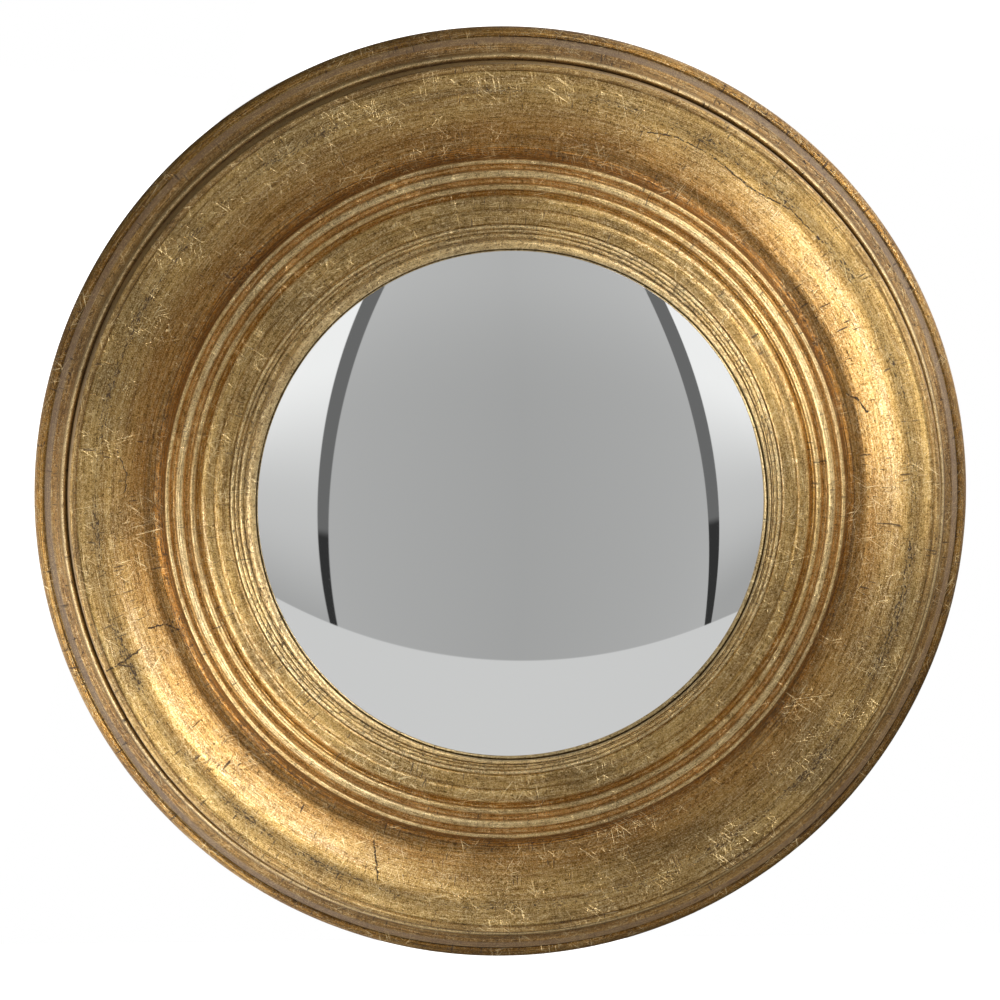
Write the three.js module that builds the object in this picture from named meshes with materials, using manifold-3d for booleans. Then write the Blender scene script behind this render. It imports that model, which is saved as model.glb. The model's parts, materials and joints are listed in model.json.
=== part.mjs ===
// Convex butler's mirror: a round gilded moulding holds a domed mirror glass behind its sight
// lip. A board on turn buttons closes the back, and a ring on a strap hangs it on a wall hook.
//
// Millimetres, +Z up. The mirror looks along -Y and its back is towards the wall at +Y. The
// origin is the point inside the top of the hanger ring where the wall hook bears.
//
// Round pieces are revolved about the mirror's axis. Their sections are written as pairs
// (radius from that axis, height forward of the frame's flat back).

import * as THREE from "three";
import { mergeVertices } from "three/addons/utils/BufferGeometryUtils.js";
import Module from "manifold-3d";

// ---- Driving dimensions ----

// Frame, overall
const OUTER_DIAMETER = 390;
const SIGHT_DIAMETER = 213; // the opening that shows the glass
const CREST_HEIGHT = 38.5; // flat back to the top of the crest bead

// Outer members, from the rim inwards
const BACK_EDGE_RADIUS = 6; // rounds the rear edge
const RIM_TORUS_WIDTH = 4;
const RIM_TORUS_RISE = 5.4;
const SPLAY_WIDTH = 3.3; // smooth sloping band
const SPLAY_RISE = 3.2;
const CAVETTO_WIDTH = 3.9;
const CAVETTO_RISE = 3.9;
const RIM_BEAD_RADIUS = 1.3;
const RIM_BEAD_RISE = 3.2;
const CREST_INSET = 16.9; // rim to the middle of the crest bead
const CREST_BEAD_RADIUS = 1.4;

// The wide cove between the crest and the inner members
const COVE_DEPTH = 18; // crest top to the bed of the cove
const COVE_RETURN_WIDTH = 5; // tight curve that climbs to the inner members
const COVE_RETURN_RISE = 12;
const COVE_SHOULDER = 18; // how far the cove stays shallow below the crest
const COVE_SHOULDER_DROP = 1.5;
const COVE_SWEEP = 6; // how softly the slope runs out into the bed

// Inner members, from the cove to the sight edge
const INNER_WIDTH = 34.1; // cove to sight edge
const FILLET_BEAD_RADIUS = 1;
const LARGE_BEAD_RADIUS = 1.75;
const SMALL_BEAD_RADIUS = 1.4;
const QUIRK_WIDTH = 2.2; // sunk flat beside each bead
const QUIRK_DEPTH = 1;
const FRIEZE_CROWN = 1; // rise of the wide inner band
const FRIEZE_LINE_DEPTH = 0.8; // incised line that divides it
const FRIEZE_FALL = 0.3; // its drop towards the reeds
const REED_COUNT = 3;
const REED_PITCH = 1.66;
const REED_RISE = 0.8;
const LIP_RISE = 1.8; // foot of the reeds to the top of the sight lip
const LIP_RADIUS = 1.2; // round of the sight lip
const LIP_THICKNESS = 1.8; // top of the lip to its underside, at the sight edge

// Rebate, glass and what holds it
const GLASS_SPHERE_RADIUS = 211;
const GLASS_THICKNESS = 3;
const GLASS_OVERLAP = 6; // how far the glass reaches past the sight edge
const GLASS_SIDE_CLEARANCE = 0.6;
const GLASS_LIP_CLEARANCE = 0.4; // along the axis, under the lip
const GASKET_WIDTH = 4;
const GASKET_THICKNESS = 1.5; // behind the rim of the glass
const SPACER_WIDTH = 7;
const BOARD_THICKNESS = 5;
const BOARD_LEDGE = 6; // step in the rebate that carries the board
const BOARD_SIDE_CLEARANCE = 0.5;
const SEAT_GAP = 0.3; // clearance between pieces that bear on each other
const DRILL_MARGIN = 1; // how far a hole runs past a face, and past the point of its screw

// Turn buttons
const BUTTON_COUNT = 6;
const BUTTON_LENGTH = 29;
const BUTTON_WIDTH = 11;
const BUTTON_THICKNESS = 1.6;
const BUTTON_END_MARGIN = 6; // outer end to the middle of the screw hole
const BUTTON_SCREW_OFFSET = 9; // board recess to the middle of the screw
const BUTTON_BEVEL = 0.4;

// Round-head wood screws
const SCREW_HEAD_RADIUS = 3.4;
const SCREW_HEAD_HEIGHT = 2.1;
const SCREW_SHANK_RADIUS = 1.7;
const SCREW_LENGTH = 13; // under the head
const SCREW_POINT_LENGTH = 4;
const SCREW_PASS_CLEARANCE = 0.4; // in a button or strap
const SCREW_PILOT_CLEARANCE = 0.3; // in the frame

// Strap hanger and its ring
const RING_WIRE_RADIUS = 1.3;
const RING_HALF_WIDTH = 11; // to the middle of the wire
const RING_HEIGHT = 20; // bar to arch, middle to middle
const RING_CORNER_RADIUS = 3;
const RING_BEARING_CLEARANCE = 0.3;
const STRAP_WIDTH = 15;
const STRAP_LENGTH = 33; // below the ring's bar
const STRAP_THICKNESS = 1.2;
const STRAP_SCREW_DROPS = [11, 26]; // ring's bar down to each screw

// Wall bumpers
const BUMPER_RADIUS = 6;
const BUMPER_HEIGHT = 7;
const BUMPER_ROUND = 1.5;
const BUMPER_INSET = 28; // rim to the middle of a bumper
const BUMPER_ANGLES = [240, 300]; // round the mirror's axis, from +X towards +Z, in degrees

// Facets
const ROUND_STEPS = 60;
const DOME_RINGS = 6;
const COVE_STEPS = 7;
const SMALL_ROUND_STEPS = 12;
const BUMPER_STEPS = 16;
const WIRE_SIDES = 8;
const WIRE_STEPS = 36;

// ---- Sizes that follow from them ----

const outerRadius = OUTER_DIAMETER / 2;
const sightRadius = SIGHT_DIAMETER / 2;
const beadFoot = CREST_HEIGHT - COVE_DEPTH + COVE_RETURN_RISE;
const friezeTop = beadFoot + FRIEZE_CROWN;
const reedFoot = friezeTop - FRIEZE_FALL;
const lipHeight = reedFoot + LIP_RISE;
const glassRadius = sightRadius + GLASS_OVERLAP;
const rebateRadius = glassRadius + GLASS_SIDE_CLEARANCE;
const recessRadius = rebateRadius + BOARD_LEDGE;
const ledgeHeight = BOARD_THICKNESS + SEAT_GAP;

// The dome's centre is set so that its front comes just under the lip at the sight edge.
const underLip = lipHeight - LIP_THICKNESS;
const domeCentre =
  underLip - GLASS_LIP_CLEARANCE - Math.sqrt(GLASS_SPHERE_RADIUS ** 2 - sightRadius ** 2);
const domeFront = (radius) => domeCentre + Math.sqrt(GLASS_SPHERE_RADIUS ** 2 - radius ** 2);
const domeBack = (radius) =>
  domeCentre + Math.sqrt((GLASS_SPHERE_RADIUS - GLASS_THICKNESS) ** 2 - radius ** 2);
const gasketBack = domeBack(glassRadius) - SEAT_GAP - GASKET_THICKNESS;

const buttonScrewRadius = recessRadius + BUTTON_SCREW_OFFSET;
const screwSeat = -SEAT_GAP - BUTTON_THICKNESS - SEAT_GAP;
const strapSeat = -SEAT_GAP - STRAP_THICKNESS - SEAT_GAP;

const barrelBore = RING_WIRE_RADIUS + RING_BEARING_CLEARANCE;
const barrelRadius = barrelBore + STRAP_THICKNESS;
const ringBarHeight = -SEAT_GAP - barrelRadius; // behind the flat back
const ringBarZ = (outerRadius + recessRadius) / 2; // halfway across the flat back
// The ring stands up and leans on the frame's back.
const ringLean = Math.asin((-ringBarHeight - SEAT_GAP - RING_WIRE_RADIUS) / RING_HEIGHT);

// ---- Materials ----

const paint = (color, roughness, metalness) =>
  new THREE.MeshStandardMaterial({ color, roughness, metalness });
const giltMaterial = paint(0xb08a44, 0.38, 0.85);
const mirrorMaterial = paint(0xdfe3e4, 0.03, 1);
const foamMaterial = paint(0x2b2b2b, 0.95, 0);
const spacerMaterial = paint(0xa88660, 0.85, 0);
const boardMaterial = paint(0x8a6a48, 0.8, 0);
const brassMaterial = paint(0xb5954f, 0.35, 1);
const screwMaterial = paint(0xa9a79f, 0.3, 1);
const rubberMaterial = paint(0x3a3936, 0.9, 0);

// ---- Shape helpers ----

const wasm = await Module();
wasm.setup();

const point = (radius, height) => new THREE.Vector2(radius, height);

// Points on an elliptical arc. Angles are in degrees: 0 points outwards and 90 forwards.
function arc(centre, radialRadius, heightRadius, from, to, steps) {
  return Array.from({ length: steps + 1 }, (_, i) => {
    const angle = THREE.MathUtils.degToRad(from + ((to - from) * i) / steps);
    return point(
      centre.x + radialRadius * Math.cos(angle),
      centre.y + heightRadius * Math.sin(angle),
    );
  });
}

// Revolves a section about the mirror's axis. Heights run forward, which is -Y. A section is
// listed anticlockwise, so that it is walked back to front to have its faces point out.
function revolve(section, steps = ROUND_STEPS) {
  const points = section.map((p) => new THREE.Vector2(p.x, -p.y)).reverse();
  return new THREE.LatheGeometry(points, steps);
}

const closed = (section) => [...section, section[0]];

function toSolid(geometry) {
  const bare = geometry.clone();
  bare.deleteAttribute("normal");
  bare.deleteAttribute("uv");
  const merged = mergeVertices(bare, 1e-3);
  return new wasm.Manifold(
    new wasm.Mesh({
      numProp: 3,
      vertProperties: merged.attributes.position.array,
      triVerts: new Uint32Array(merged.index.array),
    }),
  );
}

function toGeometry(solid) {
  const mesh = solid.getMesh();
  const geometry = new THREE.BufferGeometry();
  geometry.setAttribute("position", new THREE.BufferAttribute(mesh.vertProperties, 3));
  geometry.setIndex(new THREE.BufferAttribute(mesh.triVerts, 1));
  geometry.computeVertexNormals();
  return geometry;
}

// Cuts a round hole along Y through a solid, from one height to another.
function drill(solid, radius, x, z, fromHeight, toHeight) {
  const length = Math.abs(toHeight - fromHeight);
  const drillBit = new THREE.CylinderGeometry(radius, radius, length, SMALL_ROUND_STEPS);
  drillBit.translate(x, -(fromHeight + toHeight) / 2, z);
  return solid.subtract(toSolid(drillBit));
}

// Adds a named piece to a group.
function place(parent, name, geometry, material) {
  const mesh = new THREE.Mesh(geometry, material);
  mesh.name = name;
  parent.add(mesh);
  return mesh;
}

// ---- Frame ----

// From the flat back, round the rim and up the outer members to the crest bead.
function outerMembers() {
  const splayRadius = outerRadius - RIM_TORUS_WIDTH;
  const splayHeight = BACK_EDGE_RADIUS + RIM_TORUS_RISE;
  const cavettoRadius = splayRadius - SPLAY_WIDTH;
  const cavettoHeight = splayHeight + SPLAY_RISE;
  const beadCentre = point(
    cavettoRadius - CAVETTO_WIDTH - RIM_BEAD_RADIUS,
    cavettoHeight + CAVETTO_RISE,
  );
  const crestCentre = point(outerRadius - CREST_INSET, CREST_HEIGHT - CREST_BEAD_RADIUS);
  const backEdge = point(outerRadius - BACK_EDGE_RADIUS, BACK_EDGE_RADIUS);
  const torusCentre = point(splayRadius, BACK_EDGE_RADIUS);
  const cavettoCentre = point(cavettoRadius, cavettoHeight + CAVETTO_RISE);
  return [
    ...arc(backEdge, BACK_EDGE_RADIUS, BACK_EDGE_RADIUS, -90, -30, 2),
    ...arc(torusCentre, RIM_TORUS_WIDTH, RIM_TORUS_RISE, 0, 75, 3),
    ...arc(cavettoCentre, CAVETTO_WIDTH, CAVETTO_RISE, 270, 190, 2),
    ...arc(beadCentre, RIM_BEAD_RADIUS, RIM_BEAD_RISE, 20, 160, 3),
    ...arc(crestCentre, CREST_BEAD_RADIUS, CREST_BEAD_RADIUS, 0, 140, 3),
  ];
}

// From the crest bead down the shallow slope to the bed, and up to the inner members.
function cove() {
  const start = point(
    outerRadius - CREST_INSET - CREST_BEAD_RADIUS,
    CREST_HEIGHT - CREST_BEAD_RADIUS,
  );
  const returnRadius = sightRadius + INNER_WIDTH;
  const bed = point(returnRadius + COVE_RETURN_WIDTH, CREST_HEIGHT - COVE_DEPTH);
  const slope = new THREE.CubicBezierCurve(
    start,
    point(start.x - COVE_SHOULDER, start.y - COVE_SHOULDER_DROP),
    point(bed.x + COVE_SWEEP, bed.y),
    bed,
  );
  const returnCentre = point(bed.x, bed.y + COVE_RETURN_RISE);
  return [
    ...slope.getPoints(COVE_STEPS),
    ...arc(returnCentre, COVE_RETURN_WIDTH, COVE_RETURN_RISE, 270, 180, 3).slice(1),
  ];
}

// Beads, quirks, frieze, reeds and the sight lip, from the cove to the sight edge.
function innerMembers() {
  const quirkHeight = beadFoot - QUIRK_DEPTH;
  const filletBead = point(sightRadius + INNER_WIDTH - FILLET_BEAD_RADIUS, beadFoot);
  const largeBead = point(
    filletBead.x - FILLET_BEAD_RADIUS - QUIRK_WIDTH - LARGE_BEAD_RADIUS,
    beadFoot,
  );
  const smallBead = point(
    largeBead.x - LARGE_BEAD_RADIUS - QUIRK_WIDTH - SMALL_BEAD_RADIUS,
    beadFoot,
  );
  const friezeOuter = smallBead.x - SMALL_BEAD_RADIUS - QUIRK_WIDTH;
  const reedOuter = sightRadius + 2 * LIP_RADIUS + REED_COUNT * REED_PITCH;
  const friezeMiddle = (friezeOuter + reedOuter) / 2;
  const lipCentre = point(sightRadius + LIP_RADIUS, lipHeight - LIP_RADIUS);
  const reeds = Array.from({ length: REED_COUNT }, (_, i) => [
    point(reedOuter - i * REED_PITCH, reedFoot),
    point(reedOuter - (i + 0.5) * REED_PITCH, reedFoot + REED_RISE),
  ]).flat();
  return [
    ...arc(filletBead, FILLET_BEAD_RADIUS, FILLET_BEAD_RADIUS, 60, 180, 2),
    point(filletBead.x - FILLET_BEAD_RADIUS, quirkHeight),
    point(largeBead.x + LARGE_BEAD_RADIUS, quirkHeight),
    ...arc(largeBead, LARGE_BEAD_RADIUS, LARGE_BEAD_RADIUS, 0, 180, 4),
    point(largeBead.x - LARGE_BEAD_RADIUS, quirkHeight),
    point(smallBead.x + SMALL_BEAD_RADIUS, quirkHeight),
    ...arc(smallBead, SMALL_BEAD_RADIUS, SMALL_BEAD_RADIUS, 0, 180, 3),
    point((smallBead.x - SMALL_BEAD_RADIUS + friezeOuter) / 2, quirkHeight),
    point(friezeOuter, beadFoot),
    point((friezeOuter + friezeMiddle) / 2, friezeTop),
    point(friezeMiddle, friezeTop - FRIEZE_LINE_DEPTH),
    point((friezeMiddle + reedOuter) / 2, friezeTop),
    ...reeds,
    point(lipCentre.x + LIP_RADIUS, reedFoot),
    ...arc(lipCentre, LIP_RADIUS, LIP_RADIUS, 0, 180, 4),
    point(sightRadius, underLip),
  ];
}

// The stepped recess behind the lip, whose underside slopes with the glass, to the flat back.
function rebate() {
  return [
    point(rebateRadius, domeFront(rebateRadius) + GLASS_LIP_CLEARANCE),
    point(rebateRadius, ledgeHeight),
    point(recessRadius, ledgeHeight),
    point(recessRadius, 0),
  ];
}

function frameGeometry() {
  const section = [...outerMembers(), ...cove(), ...innerMembers(), ...rebate()];
  let solid = toSolid(revolve(closed(section)));
  const pilot = SCREW_SHANK_RADIUS + SCREW_PILOT_CLEARANCE;
  for (const { x, z } of buttonPlaces()) {
    solid = drill(solid, pilot, x, z, -DRILL_MARGIN, SCREW_LENGTH + screwSeat + DRILL_MARGIN);
  }
  for (const drop of STRAP_SCREW_DROPS) {
    const depth = SCREW_LENGTH + strapSeat + DRILL_MARGIN;
    solid = drill(solid, pilot, 0, ringBarZ - drop, -DRILL_MARGIN, depth);
  }
  return toGeometry(solid);
}

// ---- Glass and what holds it ----

function glassGeometry() {
  const radii = Array.from({ length: DOME_RINGS + 1 }, (_, i) => (glassRadius * i) / DOME_RINGS);
  const front = radii.map((radius) => point(radius, domeFront(radius)));
  const back = radii.map((radius) => point(radius, domeBack(radius)));
  return revolve([...back, ...front.reverse()]);
}

// A foam ring behind the rim of the glass. Its inner edge stands back by one more gap, because
// the facets of the glass lie a little behind its true curve there.
function gasketGeometry() {
  const inner = glassRadius - GASKET_WIDTH;
  return revolve(
    closed([
      point(inner, gasketBack),
      point(glassRadius, gasketBack),
      point(glassRadius, domeBack(glassRadius) - SEAT_GAP),
      point(inner, domeBack(inner) - 2 * SEAT_GAP),
    ]),
  );
}

function spacerGeometry() {
  const front = gasketBack - SEAT_GAP;
  const back = ledgeHeight;
  return revolve(
    closed([
      point(glassRadius - SPACER_WIDTH, back),
      point(glassRadius, back),
      point(glassRadius, front),
      point(glassRadius - SPACER_WIDTH, front),
    ]),
  );
}

function boardGeometry() {
  const radius = recessRadius - BOARD_SIDE_CLEARANCE;
  return revolve([
    point(0, 0),
    point(radius, 0),
    point(radius, BOARD_THICKNESS),
    point(0, BOARD_THICKNESS),
  ]);
}

// ---- Fasteners ----

// Screw holes of the turn buttons, evenly spaced round the board.
function buttonPlaces() {
  return Array.from({ length: BUTTON_COUNT }, (_, i) => {
    const angle = (2 * Math.PI * i) / BUTTON_COUNT;
    return {
      angle,
      x: buttonScrewRadius * Math.cos(angle),
      z: buttonScrewRadius * Math.sin(angle),
    };
  });
}

// A flat plate with round ends and a screw hole. Its long end points along -X from the hole.
function buttonGeometry() {
  const half = BUTTON_WIDTH / 2 - BUTTON_BEVEL;
  const outer = BUTTON_END_MARGIN - BUTTON_WIDTH / 2;
  const inner = outer - BUTTON_LENGTH + BUTTON_WIDTH;
  const outline = new THREE.Shape();
  outline.absarc(outer, 0, half, -Math.PI / 2, Math.PI / 2);
  outline.absarc(inner, 0, half, Math.PI / 2, (3 * Math.PI) / 2);
  const plate = new THREE.ExtrudeGeometry(outline, {
    depth: BUTTON_THICKNESS - 2 * BUTTON_BEVEL,
    bevelThickness: BUTTON_BEVEL,
    bevelSize: BUTTON_BEVEL,
    bevelSegments: 1,
    curveSegments: 4,
  });
  plate.translate(0, 0, BUTTON_BEVEL);
  plate.rotateX(-Math.PI / 2);
  const hole = SCREW_SHANK_RADIUS + SCREW_PASS_CLEARANCE;
  const through = -BUTTON_THICKNESS - DRILL_MARGIN;
  return toGeometry(drill(toSolid(plate), hole, 0, 0, DRILL_MARGIN, through));
}

// Revolved about Y, with the underside of the head at y = 0 and the point towards -Y.
function screwGeometry() {
  const head = arc(point(0, 0), SCREW_HEAD_RADIUS, -SCREW_HEAD_HEIGHT, 90, 0, 3);
  return revolve(
    [
      ...head,
      point(SCREW_SHANK_RADIUS, 0),
      point(SCREW_SHANK_RADIUS, SCREW_LENGTH - SCREW_POINT_LENGTH),
      point(0, SCREW_LENGTH),
    ],
    SMALL_ROUND_STEPS,
  );
}

// ---- Hanger ----

// A strap with its upper end rolled round the ring's bar, which lies along X at the origin.
function strapGeometry() {
  // In this section x is up and y points to the wall, both from the ring's bar.
  const side = new THREE.Shape();
  side.moveTo(0, -barrelRadius);
  side.absarc(0, 0, barrelRadius, -Math.PI / 2, Math.PI);
  side.lineTo(-barrelRadius, STRAP_THICKNESS - barrelRadius);
  side.lineTo(-STRAP_LENGTH, STRAP_THICKNESS - barrelRadius);
  side.lineTo(-STRAP_LENGTH, -barrelRadius);
  const bore = new THREE.Path();
  bore.absarc(0, 0, barrelBore, 0, 2 * Math.PI, true);
  side.holes.push(bore);
  const strip = new THREE.ExtrudeGeometry(side, {
    depth: STRAP_WIDTH,
    bevelEnabled: false,
    curveSegments: SMALL_ROUND_STEPS,
  });
  strip.translate(0, 0, -STRAP_WIDTH / 2);
  strip.applyMatrix4(
    new THREE.Matrix4().makeBasis(
      new THREE.Vector3(0, 0, 1),
      new THREE.Vector3(0, 1, 0),
      new THREE.Vector3(-1, 0, 0),
    ),
  );
  const outline = new THREE.Shape();
  const half = STRAP_WIDTH / 2;
  outline.moveTo(half, 2 * barrelRadius);
  outline.lineTo(-half, 2 * barrelRadius);
  outline.absarc(0, half - STRAP_LENGTH, half, Math.PI, 2 * Math.PI);
  const blank = new THREE.ExtrudeGeometry(outline, {
    depth: 4 * barrelRadius,
    bevelEnabled: false,
    curveSegments: SMALL_ROUND_STEPS,
  });
  blank.translate(0, 0, -2 * barrelRadius);
  blank.rotateX(Math.PI / 2);
  let solid = toSolid(strip).intersect(toSolid(blank));
  const hole = SCREW_SHANK_RADIUS + SCREW_PASS_CLEARANCE;
  for (const drop of STRAP_SCREW_DROPS) {
    solid = drill(solid, hole, 0, -drop, 2 * barrelRadius, -2 * barrelRadius);
  }
  return toGeometry(solid);
}

// A closed D of round wire in the X-Z plane, with its straight bar through the origin.
function ringGeometry() {
  const corner = RING_CORNER_RADIUS;
  const outline = new THREE.Path();
  const archCentre = RING_HEIGHT - RING_HALF_WIDTH;
  outline.moveTo(-RING_HALF_WIDTH + corner, 0);
  outline.lineTo(RING_HALF_WIDTH - corner, 0);
  outline.absarc(RING_HALF_WIDTH - corner, corner, corner, -Math.PI / 2, 0);
  outline.lineTo(RING_HALF_WIDTH, archCentre);
  outline.absarc(0, archCentre, RING_HALF_WIDTH, 0, Math.PI);
  outline.lineTo(-RING_HALF_WIDTH, corner);
  outline.absarc(-RING_HALF_WIDTH + corner, corner, corner, Math.PI, (3 * Math.PI) / 2);
  const spine = outline.getSpacedPoints(WIRE_STEPS).slice(0, -1);
  const curve = new THREE.CatmullRomCurve3(
    spine.map((p) => new THREE.Vector3(p.x, 0, p.y)),
    true,
  );
  return new THREE.TubeGeometry(curve, WIRE_STEPS, RING_WIRE_RADIUS, WIRE_SIDES, true);
}

// A rubber dot, revolved about Y, with its glued face at y = 0.
function bumperGeometry() {
  const rounded = point(BUMPER_RADIUS - BUMPER_ROUND, -BUMPER_HEIGHT + SEAT_GAP + BUMPER_ROUND);
  return revolve(
    [
      point(0, -BUMPER_HEIGHT + SEAT_GAP),
      ...arc(rounded, BUMPER_ROUND, BUMPER_ROUND, 270, 360, 3),
      point(BUMPER_RADIUS, 0),
      point(0, 0),
    ],
    BUMPER_STEPS,
  );
}

// ---- Assembly ----

const mirror = new THREE.Group();
place(mirror, "frame", frameGeometry(), giltMaterial);
place(mirror, "mirror_glass", glassGeometry(), mirrorMaterial);
place(mirror, "glazing_gasket", gasketGeometry(), foamMaterial);
place(mirror, "spacer_ring", spacerGeometry(), spacerMaterial);
place(mirror, "backing_board", boardGeometry(), boardMaterial);

const button = buttonGeometry();
const screw = screwGeometry();
buttonPlaces().forEach(({ angle, x, z }, i) => {
  const pivot = new THREE.Group();
  pivot.position.set(x, 0, z);
  pivot.rotation.y = -angle;
  place(pivot, `turn_button_${i + 1}`, button, brassMaterial).position.y = SEAT_GAP;
  place(pivot, `turn_button_screw_${i + 1}`, screw, screwMaterial).position.y = -screwSeat;
  mirror.add(pivot);
});

const hanger = new THREE.Group();
hanger.position.set(0, -ringBarHeight, ringBarZ);
place(hanger, "hanger_strap", strapGeometry(), brassMaterial);
place(hanger, "hanger_ring", ringGeometry(), brassMaterial).rotation.x = ringLean;
STRAP_SCREW_DROPS.forEach((drop, i) => {
  const mesh = place(hanger, `hanger_screw_${i + 1}`, screw, screwMaterial);
  mesh.position.set(0, ringBarHeight - strapSeat, -drop);
});
mirror.add(hanger);

const bumper = bumperGeometry();
BUMPER_ANGLES.forEach((degrees, i) => {
  const angle = THREE.MathUtils.degToRad(degrees);
  const reach = outerRadius - BUMPER_INSET;
  const mesh = place(mirror, `wall_bumper_${i + 1}`, bumper, rubberMaterial);
  mesh.position.set(reach * Math.cos(angle), SEAT_GAP, reach * Math.sin(angle));
});

// The origin goes to the inside of the ring's arch.
const hookReach = RING_HEIGHT - RING_WIRE_RADIUS;
mirror.position.set(
  0,
  ringBarHeight + hookReach * Math.sin(ringLean),
  -ringBarZ - hookReach * Math.cos(ringLean),
);

const group = new THREE.Group();
group.add(mirror);

export default group;
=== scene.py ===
import json
import math

import bpy
import numpy as np
from mathutils import Matrix, Vector

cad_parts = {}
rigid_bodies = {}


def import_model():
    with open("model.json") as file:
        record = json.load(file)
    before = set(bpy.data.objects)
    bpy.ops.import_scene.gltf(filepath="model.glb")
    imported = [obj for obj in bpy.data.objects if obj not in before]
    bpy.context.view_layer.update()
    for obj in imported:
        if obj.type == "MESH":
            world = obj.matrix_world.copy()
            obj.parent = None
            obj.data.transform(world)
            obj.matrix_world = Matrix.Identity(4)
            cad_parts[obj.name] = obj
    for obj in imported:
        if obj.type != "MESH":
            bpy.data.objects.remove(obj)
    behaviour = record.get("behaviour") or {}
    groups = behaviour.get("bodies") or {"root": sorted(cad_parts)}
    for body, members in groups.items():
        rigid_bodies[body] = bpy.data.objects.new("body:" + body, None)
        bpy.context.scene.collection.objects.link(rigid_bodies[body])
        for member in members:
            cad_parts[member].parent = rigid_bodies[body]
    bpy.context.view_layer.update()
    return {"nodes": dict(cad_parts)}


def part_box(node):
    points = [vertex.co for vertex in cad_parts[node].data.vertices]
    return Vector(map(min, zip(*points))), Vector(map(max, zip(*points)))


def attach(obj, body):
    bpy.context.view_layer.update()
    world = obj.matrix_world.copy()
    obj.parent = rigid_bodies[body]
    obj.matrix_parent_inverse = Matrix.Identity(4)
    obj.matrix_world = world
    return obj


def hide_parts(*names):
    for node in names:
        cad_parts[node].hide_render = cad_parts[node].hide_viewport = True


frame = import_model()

# Everything is in metres in the CAD's frame: the mirror looks along -Y and +Z is up.
# Sections are written in millimetres, as (radius from the mirror's axis, height forward of the
# frame's flat back).
MM = 0.001
frame_low, frame_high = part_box("frame")
AXIS_Z = (frame_low.z + frame_high.z) / 2
BACK_Y = frame_high.y
AXIS = (0.0, BACK_Y, AXIS_Z)
OUTER = 194.99  # the frame's outer radius, just inside the solid's
RING_STEPS = 440  # round the frame, few enough that none of its faces is thinned in the export
WAVINESS_SEED = 19

# The glass, as in the CAD
SPHERE = 211.0
GLASS_THICKNESS = 3.0
GLASS_RADIUS = 112.5
DOME_CENTRE = -149.36

# The sight edge of the hand-made frame is not quite concentric. It is shifted most at the edge,
# and less and less out to SHIFT_FROM.
SIGHT_RADIUS = 105.85
SHIFT_FROM = 110.5
SHIFT_X, SHIFT_Z = 2.5, -1.9

# The back hardware, as in the CAD
BUTTONS = 6
BUTTON_CIRCLE = 0.1281  # in metres
BUTTON_BORE = 2.1
HINGE = (0.0, 0.0014025, -0.0186473)  # the ring's bar, in metres
BARREL_BORE = 1.6
STRAP_THICKNESS = 1.2
STRAP_HALF = 7.5
STRAP_LENGTH = 33.0


def link(obj):
    bpy.context.scene.collection.objects.link(obj)
    return obj


# ---- Node trees ----


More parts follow.
